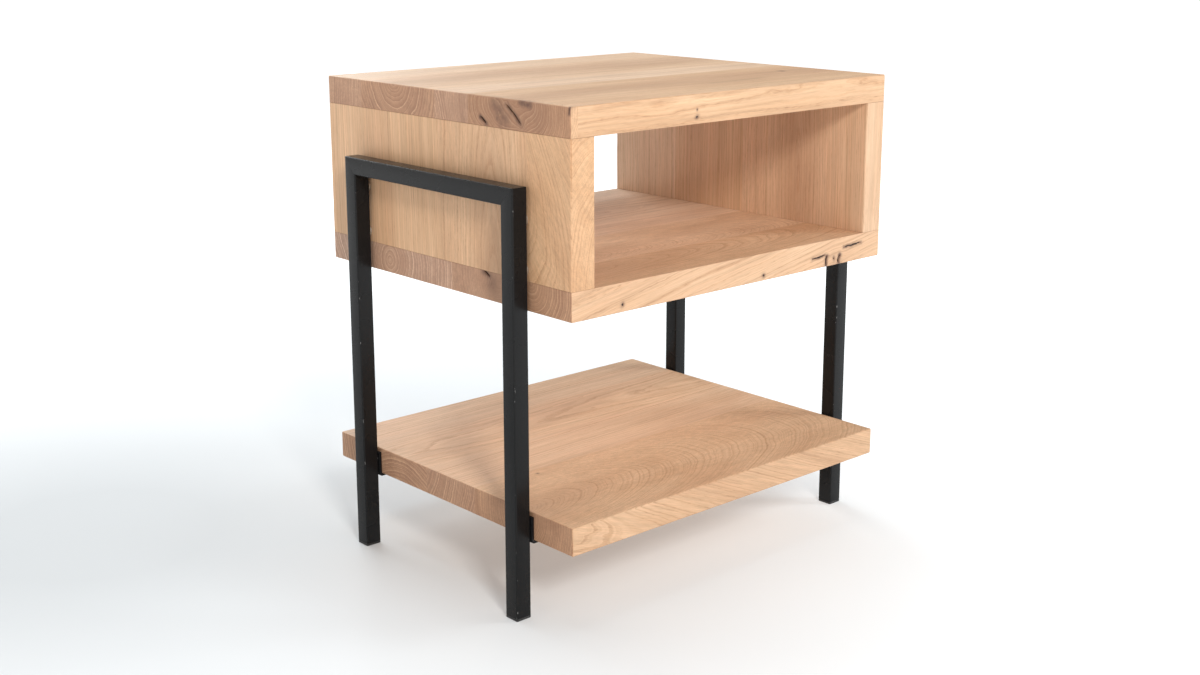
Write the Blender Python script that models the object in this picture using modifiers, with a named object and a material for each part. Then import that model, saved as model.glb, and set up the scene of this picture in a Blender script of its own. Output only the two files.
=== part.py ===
"""Side table: an open oak box between two square-tube frames, with an oak shelf low down.

Metres, +Z up, +X to the right, +Y to the back. The origin is on the floor, under the
middle of the table. Four oak boards make the box, dowelled at its corners. Each frame is
two legs and a bar, mitred. Shoulder screws in the box's sides hook into keyholes in the
legs, and the shelf is screwed to angle brackets on the legs.
"""
import math

import bmesh
import bpy
from mathutils import Matrix, Vector

# Overall sizes
TABLE_WIDTH = 0.500
TABLE_DEPTH = 0.438
TABLE_HEIGHT = 0.565
BOX_HEIGHT = 0.221
BOARD = 0.032
BOARD_EDGE_ROUND = 0.0012

# Lower shelf
SHELF_TOP_HEIGHT = 0.121

# Frames of square tube
TUBE = 0.020
TUBE_WALL = 0.0015
TUBE_CORNER_ROUND = 0.0018
FRAME_INSET = 0.065
FRAME_UP_THE_BOX = 0.134

# Clearances, and the plate that keeps the tubes off the wood
TOUCH_GAP = 0.0003
PLATE = 0.003
HOLE_CLEARANCE = 0.0003
DRILL_END_CLEARANCE = 0.0010

# Dowels between the box's sides and its top and bottom
DOWEL_DIAMETER = 0.008
DOWEL_LENGTH = 0.036
DOWEL_CHAMFER = 0.0010
DOWELS_PER_JOINT = 3
DOWEL_END_DISTANCE = 0.050

# Shoulder screws that hang the box in the legs' keyholes
HOOK_SHANK_DIAMETER = 0.005
HOOK_HEAD_DIAMETER = 0.0095
HOOK_HEAD_THICKNESS = 0.003
HOOK_IN_WOOD = 0.022
HOOK_POINT = 0.004
HOOK_ABOVE_SIDE_END = 0.012
KEYHOLE_DROP = 0.011
KEYHOLE_HEAD_CLEARANCE = 0.0006
WASHER_DIAMETER = 0.015

# Angle brackets and screws under the shelf
BRACKET_PAST_TUBE = 0.002
BRACKET_BELOW_SHELF_TOP = 0.005
BRACKET_REACH = 0.045
BRACKET_INNER_BEND = 0.0006
SCREWS_PER_BRACKET = 2
BRACKET_SCREW_EDGE = 0.012
SCREW_DIAMETER = 0.004
SCREW_HEAD_DIAMETER = 0.008
SCREW_HEAD_HEIGHT = 0.0024
SCREW_IN_WOOD = 0.018
SCREW_POINT = 0.004
SOCKET_ACROSS = 0.003
SOCKET_DEPTH = 0.0014

# Glides pushed into the legs
GLIDE_FLANGE = 0.0030
GLIDE_PLUG_HEIGHT = 0.014
GLIDE_PLUG_CLEARANCE = 0.0004
GLIDE_EDGE_ROUND = 0.0008

# Places worked out from the sizes
HALF_WIDTH = TABLE_WIDTH / 2
HALF_DEPTH = TABLE_DEPTH / 2
BOX_BOTTOM = TABLE_HEIGHT - BOX_HEIGHT
SIDE_BOTTOM = BOX_BOTTOM + BOARD + TOUCH_GAP
SIDE_TOP = TABLE_HEIGHT - BOARD - TOUCH_GAP
SIDE_CENTRE_X = HALF_WIDTH - BOARD / 2
STAND_OFF = PLATE + 2 * TOUCH_GAP
TUBE_INNER_X = HALF_WIDTH + STAND_OFF
TUBE_CENTRE_X = TUBE_INNER_X + TUBE / 2
FRAME_DEPTH = TABLE_DEPTH - 2 * FRAME_INSET
FRAME_HEIGHT = BOX_BOTTOM + FRAME_UP_THE_BOX
LEG_CENTRE_Y = FRAME_DEPTH / 2 - TUBE / 2
LEG_BOTTOM = GLIDE_FLANGE + TOUCH_GAP
BAR_CENTRE_Z = FRAME_HEIGHT - TUBE / 2
SHELF_BOTTOM = SHELF_TOP_HEIGHT - BOARD
KEYHOLE_SLOT = HOOK_SHANK_DIAMETER / 2 + HOLE_CLEARANCE
KEYHOLE_ENTRY = HOOK_HEAD_DIAMETER / 2 + KEYHOLE_HEAD_CLEARANCE
HOOK_TOP_Z = FRAME_HEIGHT - TUBE - KEYHOLE_DROP - KEYHOLE_ENTRY
HOOK_HEIGHTS = (SIDE_BOTTOM + HOOK_ABOVE_SIDE_END, HOOK_TOP_Z)
BRACKET_BOTTOM = SHELF_BOTTOM - TOUCH_GAP - PLATE
BRACKET_HEIGHT = SHELF_TOP_HEIGHT - BRACKET_BELOW_SHELF_TOP - BRACKET_BOTTOM
BRACKET_WIDTH = TUBE + 2 * BRACKET_PAST_TUBE

SIDES = (("left", -1), ("right", 1))
ENDS = (("front", -1), ("rear", 1))
UP = Vector((0.0, 0.0, 1.0))
ROUND_SEGMENTS = 12
SHARP_ANGLE = math.radians(35)

OAK = (0.70, 0.47, 0.29)
BEECH = (0.62, 0.42, 0.27)
BLACK_PAINT = (0.018, 0.018, 0.019)
ZINC = (0.55, 0.55, 0.53)
BLACK_PLASTIC = (0.012, 0.012, 0.012)


def clear_scene():
    """Remove every object, so that the model starts from nothing."""
    for old in list(bpy.data.objects):
        bpy.data.objects.remove(old, do_unlink=True)


def new_collection(name):
    """A collection linked to the scene."""
    made = bpy.data.collections.new(name)
    bpy.context.scene.collection.children.link(made)
    return made


def finish(name, colour, roughness, metallic=0.0):
    """A plain Principled material."""
    made = bpy.data.materials.new(name)
    made.use_nodes = True
    shader = made.node_tree.nodes["Principled BSDF"]
    shader.inputs["Base Color"].default_value = (*colour, 1.0)
    shader.inputs["Roughness"].default_value = roughness
    shader.inputs["Metallic"].default_value = metallic
    return made


def to_collection(piece, collection):
    """Move a piece from the collections it was made in to one of ours."""
    for current in list(piece.users_collection):
        current.objects.unlink(piece)
    collection.objects.link(piece)
    return piece


def as_cutter(piece, collection):
    """Mark a piece as a cutter, which is not part of the table."""
    piece.hide_render = True
    piece.display_type = "WIRE"
    return to_collection(piece, collection)


def turn_z_to(piece, axis):
    """Rotate a piece so that its own Z lies along an axis."""
    piece.rotation_mode = "QUATERNION"
    piece.rotation_quaternion = UP.rotation_difference(Vector(axis))


def cut(piece, cutters):
    """Take each cutter's shape away from the piece."""
    for cutter in cutters:
        boolean = piece.modifiers.new("cut " + cutter.name, "BOOLEAN")
        boolean.operation = "DIFFERENCE"
        boolean.solver = "EXACT"
        boolean.object = cutter


def round_edges(piece, width, segments):
    """Round every edge that is sharper than the limit angle."""
    bevel = piece.modifiers.new("rounded edges", "BEVEL")
    bevel.width = width
    bevel.segments = segments
    bevel.limit_method = "ANGLE"
    bevel.angle_limit = SHARP_ANGLE


def block(name, low, high, collection):
    """A box between two corners, with its scale applied to its mesh."""
    low = Vector(low)
    high = Vector(high)
    bpy.ops.mesh.primitive_cube_add(size=1.0)
    piece = bpy.context.object
    piece.name = name
    piece.data.name = name
    piece.data.transform(Matrix.Diagonal((*(high - low), 1.0)))
    piece.location = (low + high) / 2
    return to_collection(piece, collection)


def drill(name, radius, start, axis, length, collection):
    """A round cutter that starts at a point and runs a length along an axis."""
    bpy.ops.mesh.primitive_cylinder_add(radius=radius, depth=length, vertices=ROUND_SEGMENTS)
    piece = bpy.context.object
    piece.name = name
    piece.location = Vector(start) + Vector(axis) * length / 2
    turn_z_to(piece, axis)
    return as_cutter(piece, collection)


def baked(piece, name):
    """The piece's mesh with its modifiers applied; the piece itself is removed."""
    evaluated = piece.evaluated_get(bpy.context.evaluated_depsgraph_get())
    mesh = bpy.data.meshes.new_from_object(evaluated)
    bpy.data.objects.remove(piece, do_unlink=True)
    mesh.name = name
    return mesh


def turned_mesh(name, profile, closed=False):
    """A turned mesh about Z from (radius, height) pairs that run down its outer side.

    A closed profile is a ring's section; an open one starts and ends on the axis.
    """
    points = [(radius, 0.0, height) for radius, height in profile]
    lines = [(i, i + 1) for i in range(len(points) - 1)]
    if closed:
        lines.append((len(points) - 1, 0))
    section = bpy.data.meshes.new(name + " section")
    section.from_pydata(points, lines, [])
    holder = bpy.data.objects.new(name + " section", section)
    bpy.context.scene.collection.objects.link(holder)
    screw = holder.modifiers.new("turn", "SCREW")
    screw.axis = "Z"
    screw.angle = math.tau
    screw.steps = ROUND_SEGMENTS
    screw.render_steps = ROUND_SEGMENTS
    screw.use_merge_vertices = True
    screw.merge_threshold = 0.0001
    mesh = baked(holder, name)
    mesh.shade_smooth()
    mesh.set_sharp_from_angle(angle=SHARP_ANGLE)
    return mesh


def with_socket(mesh, face_height, cutters):
    """The mesh with a hexagonal socket sunk into the head face at that height on its axis."""
    holder = bpy.data.objects.new(mesh.name + " blank", mesh)
    bpy.context.scene.collection.objects.link(holder)
    bpy.ops.mesh.primitive_cylinder_add(
        radius=SOCKET_ACROSS / math.sqrt(3), depth=2 * SOCKET_DEPTH, vertices=6,
        location=(0.0, 0.0, face_height))
    socket = as_cutter(bpy.context.object, cutters)
    socket.name = mesh.name + "_socket"
    cut(holder, [socket])
    return baked(holder, mesh.name)


def plate_mesh(name, outline, thickness):
    """A flat outline of (u, v) pairs in the XZ plane, given a thickness about the plane."""
    shape = bmesh.new()
    corners = [shape.verts.new((u, -thickness / 2, v)) for u, v in outline]
    face = shape.faces.new(corners)
    raised = bmesh.ops.extrude_face_region(shape, geom=[face])
    moved = [item for item in raised["geom"] if isinstance(item, bmesh.types.BMVert)]
    bmesh.ops.translate(shape, verts=moved, vec=(0.0, thickness, 0.0))
    bmesh.ops.recalc_face_normals(shape, faces=shape.faces)
    mesh = bpy.data.meshes.new(name)
    shape.to_mesh(mesh)
    shape.free()
    return mesh


def arc(centre, radius, start, stop, count):
    """Points on an arc from one angle to another, both ends among them."""
    turns = [start + (stop - start) * i / (count - 1) for i in range(count)]
    return [(centre[0] + radius * math.cos(a), centre[1] + radius * math.sin(a)) for a in turns]


def copy_of(name, mesh, location, axis, material, collection):
    """One copy of a shared mesh, its own Z laid along an axis."""
    piece = bpy.data.objects.new(name, mesh)
    piece.location = location
    turn_z_to(piece, axis)
    if not mesh.materials:
        mesh.materials.append(material)
    collection.objects.link(piece)
    return piece


def spread(count, half_span):
    """Places at even steps from minus to plus half_span."""
    return [half_span * (2 * i / (count - 1) - 1) for i in range(count)]


def make_board(name, low, high, oak, parts):
    """An oak board with softened edges."""
    board = block(name, low, high, parts)
    board.data.materials.append(oak)
    round_edges(board, BOARD_EDGE_ROUND, 2)
    return board


def make_box(oak, parts):
    """The box's four boards: top and bottom run through, the sides stand between them."""
    w = HALF_WIDTH
    d = HALF_DEPTH
    boards = {}
    boards["upper"] = make_board(
        "top_board", (-w, -d, TABLE_HEIGHT - BOARD), (w, d, TABLE_HEIGHT), oak, parts)
    boards["lower"] = make_board(
        "bottom_board", (-w, -d, BOX_BOTTOM), (w, d, BOX_BOTTOM + BOARD), oak, parts)
    for side, sign in SIDES:
        low_x, high_x = sorted((sign * w, sign * (w - BOARD)))
        boards[side] = make_board(
            side + "_side_panel", (low_x, -d, SIDE_BOTTOM), (high_x, d, SIDE_TOP), oak, parts)
    return boards


def make_shelf(oak, parts):
    """The lower shelf, as wide and as deep as the box."""
    low = (-HALF_WIDTH, -HALF_DEPTH, SHELF_BOTTOM)
    high = (HALF_WIDTH, HALF_DEPTH, SHELF_TOP_HEIGHT)
    return make_board("lower_shelf", low, high, oak, parts)


def make_dowels(boards, beech, parts, cutters):
    """Dowels half in a side and half in the top or bottom, with their drilled holes."""
    radius = DOWEL_DIAMETER / 2
    half = DOWEL_LENGTH / 2
    chamfered = radius - DOWEL_CHAMFER
    profile = [(0.0, half), (chamfered, half), (radius, half - DOWEL_CHAMFER),
               (radius, DOWEL_CHAMFER - half), (chamfered, -half), (0.0, -half)]
    mesh = turned_mesh("dowel", profile)
    reach = half + DRILL_END_CLEARANCE
    half_span = HALF_DEPTH - DOWEL_END_DISTANCE
    for side, sign in SIDES:
        for joint, height in (("lower", SIDE_BOTTOM), ("upper", SIDE_TOP)):
            for number, y in enumerate(spread(DOWELS_PER_JOINT, half_span), 1):
                name = f"{side}_{joint}_dowel_{number}"
                centre = Vector((sign * SIDE_CENTRE_X, y, height))
                copy_of(name, mesh, centre, UP, beech, parts)
                hole = drill(name + "_hole", radius + HOLE_CLEARANCE, centre - UP * reach, UP,
                             2 * reach, cutters)
                cut(boards[side], [hole])
                cut(boards[joint], [hole])


def tube(name, length, material, parts):
    """A square tube along its own Z, open at both ends: a bare sleeve given its wall."""
    shape = bmesh.new()
    bmesh.ops.create_cube(shape, size=1.0)
    bmesh.ops.transform(shape, verts=shape.verts, matrix=Matrix.Diagonal((TUBE, TUBE, length, 1.0)))
    bmesh.ops.translate(shape, verts=shape.verts, vec=(0.0, 0.0, length / 2))
    ends = [face for face in shape.faces if abs(face.normal.z) > math.cos(SHARP_ANGLE)]
    bmesh.ops.delete(shape, geom=ends, context="FACES_ONLY")
    mesh = bpy.data.meshes.new(name)
    shape.to_mesh(mesh)
    shape.free()
    piece = bpy.data.objects.new(name, mesh)
    parts.objects.link(piece)
    mesh.materials.append(material)
    round_edges(piece, TUBE_CORNER_ROUND, 2)
    wall = piece.modifiers.new("wall", "SOLIDIFY")
    wall.thickness = TUBE_WALL
    wall.offset = -1.0
    wall.use_even_offset = True
    return piece


def mitre(name, sign, way, keep_leg, cutters):
    """A block whose face is the mitre where a leg meets the bar.

    The mitre's plane runs through the tubes' crossing point at 45 degrees, and the face
    stands half a touch gap short of it. keep_leg says which side of the plane is left standing.
    """
    size = 4 * TUBE
    away = 1.0 if keep_leg else -1.0
    normal = Vector((0.0, -way * away, away)).normalized()
    crossing = Vector((sign * TUBE_CENTRE_X, way * LEG_CENTRE_Y, BAR_CENTRE_Z))
    bpy.ops.mesh.primitive_cube_add(size=size)
    piece = bpy.context.object
    piece.name = name
    piece.location = crossing + normal * (size - TOUCH_GAP) / 2
    turn_z_to(piece, normal)
    return as_cutter(piece, cutters)


def keyhole_outline():
    """A keyhole about the resting screw: a round entry above, and a slot down to the screw."""
    mouth = math.asin(KEYHOLE_SLOT / KEYHOLE_ENTRY)
    low = arc((0.0, 0.0), KEYHOLE_SLOT, math.pi, math.tau, ROUND_SEGMENTS // 2)
    high = arc((0.0, KEYHOLE_DROP), KEYHOLE_ENTRY, mouth - math.pi / 2, 1.5 * math.pi - mouth,
               ROUND_SEGMENTS)
    return low + high


def keyhole(name, sign, y, z, cutters):
    """The cutter of one keyhole, through the tube's wall that faces the box."""
    depth = 2 * (TUBE_WALL + TOUCH_GAP)
    mesh = plate_mesh(name, keyhole_outline(), depth)
    mesh.transform(Matrix.Rotation(math.pi / 2, 4, "Z"))
    piece = bpy.data.objects.new(name, mesh)
    piece.location = (sign * (TUBE_INNER_X + TUBE_WALL / 2), y, z)
    return as_cutter(piece, cutters)


def make_frames(paint, parts, cutters):
    """Both frames: on each side two legs, with their keyholes, and the bar between them."""
    for side, sign in SIDES:
        bar = tube(side + "_top_bar", FRAME_DEPTH, paint, parts)
        bar.location = (sign * TUBE_CENTRE_X, -FRAME_DEPTH / 2, BAR_CENTRE_Z)
        turn_z_to(bar, (0.0, 1.0, 0.0))
        for end, way in ENDS:
            name = f"{side}_{end}_leg"
            leg = tube(name, FRAME_HEIGHT - LEG_BOTTOM, paint, parts)
            leg.location = (sign * TUBE_CENTRE_X, way * LEG_CENTRE_Y, LEG_BOTTOM)
            cut(leg, [mitre(name + "_mitre", sign, way, True, cutters)])
            cut(bar, [mitre(f"{side}_{end}_bar_mitre", sign, way, False, cutters)])
            for number, z in enumerate(HOOK_HEIGHTS, 1):
                cut(leg, [keyhole(f"{name}_keyhole_{number}", sign, way * LEG_CENTRE_Y, z, cutters)])


def hook_screw_mesh(cutters):
    """A shoulder screw about its axis, from the wood's face at 0: head up, point down."""
    shank = HOOK_SHANK_DIAMETER / 2
    head = HOOK_HEAD_DIAMETER / 2
    head_low = STAND_OFF + TUBE_WALL + TOUCH_GAP
    head_high = head_low + HOOK_HEAD_THICKNESS
    profile = [(0.0, head_high), (head, head_high), (head, head_low), (shank, head_low),
               (shank, HOOK_POINT - HOOK_IN_WOOD), (0.0, -HOOK_IN_WOOD)]
    return with_socket(turned_mesh("shoulder_screw", profile), head_high, cutters)


def washer_mesh():
    """The spacer washer between the tube and the box, from the wood's face at 0."""
    outer = WASHER_DIAMETER / 2
    inner = KEYHOLE_SLOT
    low = TOUCH_GAP
    high = TOUCH_GAP + PLATE
    return turned_mesh("washer", [(outer, high), (outer, low), (inner, low), (inner, high)], closed=True)


def make_hooks(boards, zinc, parts, cutters):
    """Shoulder screws with spacer washers, two behind each leg, and their pilot holes."""
    screw = hook_screw_mesh(cutters)
    washer = washer_mesh()
    for side, sign in SIDES:
        outward = Vector((sign, 0.0, 0.0))
        for end, way in ENDS:
            for number, z in enumerate(HOOK_HEIGHTS, 1):
                place = Vector((sign * HALF_WIDTH, way * LEG_CENTRE_Y, z))
                label = f"{side}_{end}"
                copy_of(f"{label}_hook_screw_{number}", screw, place, outward, zinc, parts)
                copy_of(f"{label}_spacer_washer_{number}", washer, place, outward, zinc, parts)
                depth = HOOK_IN_WOOD + DRILL_END_CLEARANCE
                start = place + outward * STAND_OFF
                hole = drill(f"{label}_hook_hole_{number}", KEYHOLE_SLOT, start, -outward,
                             depth + STAND_OFF, cutters)
                cut(boards[side], [hole])


def bracket_outline():
    """An angle's section: u runs in under the shelf from the tube's side, v runs up."""
    reach = BRACKET_REACH + TOUCH_GAP + PLATE
    bend = PLATE + BRACKET_INNER_BEND
    outer = arc((bend, bend), bend, math.pi, 1.5 * math.pi, 5)
    inner = arc((bend, bend), BRACKET_INNER_BEND, 1.5 * math.pi, math.pi, 3)
    ends = [(reach, 0.0), (reach, PLATE)]
    return [(0.0, BRACKET_HEIGHT)] + outer + ends + inner + [(PLATE, BRACKET_HEIGHT)]


def screw_mesh(cutters):
    """A round-head wood screw about its axis, from the wood's face at 0: point up, head down."""
    shank = SCREW_DIAMETER / 2
    head = SCREW_HEAD_DIAMETER / 2
    head_top = -STAND_OFF
    head_low = head_top - SCREW_HEAD_HEIGHT
    profile = [(0.0, SCREW_IN_WOOD), (shank, SCREW_IN_WOOD - SCREW_POINT), (shank, head_top),
               (head, head_top), (head, head_top - SCREW_HEAD_HEIGHT / 3), (head * 0.7, head_low),
               (0.0, head_low)]
    return with_socket(turned_mesh("wood_screw", profile), head_low, cutters)


def make_brackets(shelf, paint, zinc, parts, cutters):
    """The shelf's four angle brackets with their screws, and the holes for them."""
    screw = screw_mesh(cutters)
    hole_radius = SCREW_DIAMETER / 2 + HOLE_CLEARANCE
    depth = SCREW_IN_WOOD + DRILL_END_CLEARANCE
    screw_xs = [HALF_WIDTH - BRACKET_REACH / 2 + offset
                for offset in spread(SCREWS_PER_BRACKET, BRACKET_REACH / 2 - BRACKET_SCREW_EDGE)]
    for side, sign in SIDES:
        for end, way in ENDS:
            name = f"{side}_{end}_shelf_bracket"
            mesh = plate_mesh(name, bracket_outline(), BRACKET_WIDTH)
            mesh.materials.append(paint)
            bracket = bpy.data.objects.new(name, mesh)
            y = way * LEG_CENTRE_Y
            bracket.location = (sign * (HALF_WIDTH + TOUCH_GAP + PLATE), y, BRACKET_BOTTOM)
            if sign > 0:
                bracket.rotation_euler = (0.0, 0.0, math.pi)
            parts.objects.link(bracket)
            for number, x in enumerate(screw_xs, 1):
                place = Vector((sign * x, y, SHELF_BOTTOM))
                copy_of(f"{side}_{end}_shelf_screw_{number}", screw, place, UP, zinc, parts)
                hole = drill(f"{name}_hole_{number}", hole_radius, place - UP * 2 * STAND_OFF, UP,
                             depth + 2 * STAND_OFF, cutters)
                cut(bracket, [hole])
                cut(shelf, [hole])


def glide_mesh():
    """A leg's plastic glide, from the floor at 0: a rounded flange with a square plug on it."""
    shape = bmesh.new()
    bmesh.ops.create_cube(shape, size=1.0)
    size = Matrix.Diagonal((TUBE, TUBE, GLIDE_FLANGE, 1.0))
    bmesh.ops.transform(shape, verts=shape.verts, matrix=size)
    bmesh.ops.translate(shape, verts=shape.verts, vec=(0.0, 0.0, GLIDE_FLANGE / 2))
    bmesh.ops.bevel(shape, geom=list(shape.edges), offset=GLIDE_EDGE_ROUND, segments=2,
                    affect="EDGES", profile=0.5)
    top = max(shape.faces, key=lambda face: face.calc_center_median().z)
    inset = TUBE_WALL + GLIDE_PLUG_CLEARANCE - GLIDE_EDGE_ROUND
    bmesh.ops.inset_individual(shape, faces=[top], thickness=inset, use_even_offset=True)
    raised = bmesh.ops.extrude_face_region(shape, geom=[top])
    moved = [item for item in raised["geom"] if isinstance(item, bmesh.types.BMVert)]
    bmesh.ops.translate(shape, verts=moved, vec=(0.0, 0.0, GLIDE_PLUG_HEIGHT))
    bmesh.ops.delete(shape, geom=[top], context="FACES_ONLY")
    mesh = bpy.data.meshes.new("foot_glide")
    shape.to_mesh(mesh)
    shape.free()
    return mesh


def make_glides(plastic, parts):
    """One glide under each leg."""
    mesh = glide_mesh()
    for side, sign in SIDES:
        for end, way in ENDS:
            place = (sign * TUBE_CENTRE_X, way * LEG_CENTRE_Y, 0.0)
            copy_of(f"{side}_{end}_foot_glide", mesh, place, UP, plastic, parts)


def main():
    """Build the whole table."""
    clear_scene()
    parts = new_collection("side_table")
    cutters = new_collection("cutters")
    oak = finish("oiled_oak", OAK, 0.55)
    beech = finish("beech", BEECH, 0.60)
    paint = finish("black_powder_coat", BLACK_PAINT, 0.40)
    zinc = finish("zinc_plated_steel", ZINC, 0.35, metallic=1.0)
    plastic = finish("black_plastic", BLACK_PLASTIC, 0.50)
    boards = make_box(oak, parts)
    shelf = make_shelf(oak, parts)
    make_dowels(boards, beech, parts, cutters)
    make_frames(paint, parts, cutters)
    make_hooks(boards, zinc, parts, cutters)
    make_brackets(shelf, paint, zinc, parts, cutters)
    make_glides(plastic, parts)


main()
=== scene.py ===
"""Looks of the open side table: edge-glued oak boards hung between two black steel frames.

New pieces are surfaces worked out with numpy, in metres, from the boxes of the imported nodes.
Boards are boxes with eased edges whose wood is a solid figure: every stave carries the place of its
own pith, and the growth rings are read from the distance to it, on faces, edges and ends alike.
"""

import math

import bpy
import numpy as np
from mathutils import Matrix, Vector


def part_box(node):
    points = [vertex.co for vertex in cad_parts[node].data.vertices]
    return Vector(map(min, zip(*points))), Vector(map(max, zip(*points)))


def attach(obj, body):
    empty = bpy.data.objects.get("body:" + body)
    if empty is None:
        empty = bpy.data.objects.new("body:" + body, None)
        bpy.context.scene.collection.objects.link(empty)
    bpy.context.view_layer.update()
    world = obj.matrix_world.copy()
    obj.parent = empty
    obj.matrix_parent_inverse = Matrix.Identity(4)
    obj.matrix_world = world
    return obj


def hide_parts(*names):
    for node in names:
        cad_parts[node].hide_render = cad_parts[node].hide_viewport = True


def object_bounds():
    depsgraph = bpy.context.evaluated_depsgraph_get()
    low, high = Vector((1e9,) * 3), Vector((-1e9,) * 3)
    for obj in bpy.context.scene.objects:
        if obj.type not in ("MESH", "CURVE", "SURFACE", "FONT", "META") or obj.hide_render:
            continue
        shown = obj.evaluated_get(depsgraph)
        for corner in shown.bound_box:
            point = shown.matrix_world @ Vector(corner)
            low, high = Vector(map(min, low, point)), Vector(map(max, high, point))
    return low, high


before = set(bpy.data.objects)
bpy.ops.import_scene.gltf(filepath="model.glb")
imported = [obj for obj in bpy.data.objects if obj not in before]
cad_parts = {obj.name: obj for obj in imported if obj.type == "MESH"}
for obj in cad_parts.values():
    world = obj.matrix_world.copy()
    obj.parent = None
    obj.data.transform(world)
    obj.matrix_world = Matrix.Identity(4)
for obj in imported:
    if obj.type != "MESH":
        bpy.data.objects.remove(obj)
CAD_LOW, CAD_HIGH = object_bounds()

# ---------------------------------------------------------------------------------------- sizes
BOARD_EASE = 0.0012            # the sanded round on every open board edge
JOINT_EASE = 0.00015           # what sanding flush leaves where boards meet
JOINT_CLOSING = 0.00025        # glued joints are tight: each panel end takes up the gap left in CAD
EASE_TURN = (0.0, 15.0, 30.0, 45.0)   # degrees at which the round gets its grid lines
HOLDING_LINE = 0.0004          # the first line of each flat, close to the round
FACE_STEP = 0.008              # grid step on the boards' flats
FLAW_STEP = 0.0008             # grid step across knots and cracks
HALO_PACE = 3                  # the grid is this many times coarser across the stain round them
FLAW_MARGIN = 0.0020           # how far the finer grid runs past a flaw
SWIRL = 0.5                    # how strongly the grain parts round a knot
SWIRL_REACH = 1.3              # and how far out, in halos

TUBE = 0.020
TUBE_WALL = 0.0015
TUBE_CORNER = 0.0018
TUBE_CORNER_STEPS = 6
WELD_HALF = 0.0016             # half the width of the ground-down weld at each mitre
WELD_HOLLOW = 0.00005

PLATE = 0.003
PLATE_INNER_BEND = 0.0006
PLATE_EDGE = 0.00035

GLIDE_FLANGE = 0.0030
GLIDE_ROUND = 0.0007
GLIDE_PLUG_GAP = 0.0004

THREAD_PITCH = 0.0018
THREAD_DEPTH = 0.00045
THREAD_STEPS = 8               # rings of points to one turn of thread
ROUND_POINTS = 36
SHELF_SCREW = (0.0040, 0.0024, 0.0020, 0.0025)     # head radius and height, shank radius, socket
HOOK_SCREW = (0.00475, 0.0030, 0.0025, 0.0030)
WASHER_HOLE = 0.0054

GLOW_START = (-0.5, 0.4, 0.0)  # where the floor's painted glow is weakest, by the table's shaded corner
GLOW_RISE = 0.47               # how much the painted glow rises with each metre from there
GLOW_OFFSET = -0.07
GLOW_MOST = 0.92

WOOD_AXES = {"x": (0, 1, 2), "z": (2, 1, 0)}    # along, across and depth for each grain direction


# ------------------------------------------------------------------------------- mesh building
def new_piece(name, points, faces, material, stands_for, smooth_angle=30.0):
    """A mesh object at the origin, in the frame's metres, that rides on the one body."""
    mesh = bpy.data.meshes.new(name)
    mesh.from_pydata(points.tolist(), [], [list(face) for face in faces])
    mesh.materials.append(material)
    mesh.shade_smooth()
    mesh.set_sharp_from_angle(angle=math.radians(smooth_angle))
    piece = bpy.data.objects.new(name, mesh)
    bpy.context.scene.collection.objects.link(piece)
    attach(piece, "root")
    if stands_for:
        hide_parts(*stands_for)
    return piece


def stack(rings, around=False):
    """Points and faces of a stack of equal closed rings, given as (rings, points, 3).

    Ring i joins ring i + 1, face by face. The first and last rings are closed with flat caps, or
    with around set the last ring joins the first, as in a washer.
    """
    count, size = rings.shape[:2]
    index = np.arange(count * size).reshape(count, size)
    low = index if around else index[:-1]
    high = np.roll(index, -1, axis=0) if around else index[1:]
    quads = np.stack([low, np.roll(low, -1, axis=1), np.roll(high, -1, axis=1), high], axis=-1)
    faces = quads.reshape(-1, 4).tolist()
    if not around:
        faces += [index[0][::-1].tolist(), index[-1].tolist()]
    return rings.reshape(-1, 3), faces


def placed(outline, heights, origin, right, up, along):
    """Rings in space: p = origin + a right + b up + h along, for outlines (rings, points, 2)."""
    right, up, along = (np.array(axis, float) for axis in (right, up, along))
    flat = outline[..., :1] * right + outline[..., 1:] * up
    return np.array(origin, float) + flat + np.asarray(heights)[:, None, None] * along


def arc(centre, radius, start, end, steps):
    """Points (c + r cos t, s + r sin t) at equal angles from start to end, in degrees."""
    turn = np.radians(np.linspace(start, end, steps + 1))
    return np.stack([centre[0] + radius * np.cos(turn), centre[1] + radius * np.sin(turn)], axis=-1)


def rounded_square(side, radius, steps=TUBE_CORNER_STEPS):
    """A square outline whose corners are quarter circles, counter-clockwise from the right."""
    inner = side / 2 - radius
    corners = [((inner, inner), 0), ((-inner, inner), 90), ((-inner, -inner), 180), ((inner, -inner), 270)]
    return np.concatenate([arc(centre, radius, turn, turn + 90, steps) for centre, turn in corners])


# -------------------------------------------------------------------------------- oak boards
class Stave:
    """One strip of a glued board, from `start` to `end` across it.

    The pith runs at (across, depth) from the board's middle, leaning by lean_across and lean_depth
    for each metre along the grain. Rings are `ring` metres apart. The tone lightens or darkens the stave,
    partly at random and partly as painted light and shade, set per board for how that board is lit.
    """

    def __init__(self, start, end, across, depth, lean_across, lean_depth, ring, tone):
        self.start, self.end = start, end
        self.pith = (across, depth)
        self.lean = (lean_across, lean_depth)
        self.ring, self.tone = ring, tone


class Flaw:
    """A knot, stain or crack on one face of a board, along a line of points in that face.

    Points are distances from the board's middle along the face's two axes. width and depth are
    those of the opening, halo the width of the stain round it, dark how deep the stain is.
    """

    def __init__(self, face, line, width, depth, halo, dark):
        self.axis = "xyz".index(face[1])
        self.side = 1 if face[0] == "+" else -1
        self.line = np.array(line, float)
        self.width, self.depth, self.halo, self.dark = width, depth, halo, dark


def smooth(value):
    """3 t^2 - 2 t^3 with t clipped to 0..1."""
    t = np.clip(value, 0, 1)
    return t * t * (3 - 2 * t)


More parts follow.
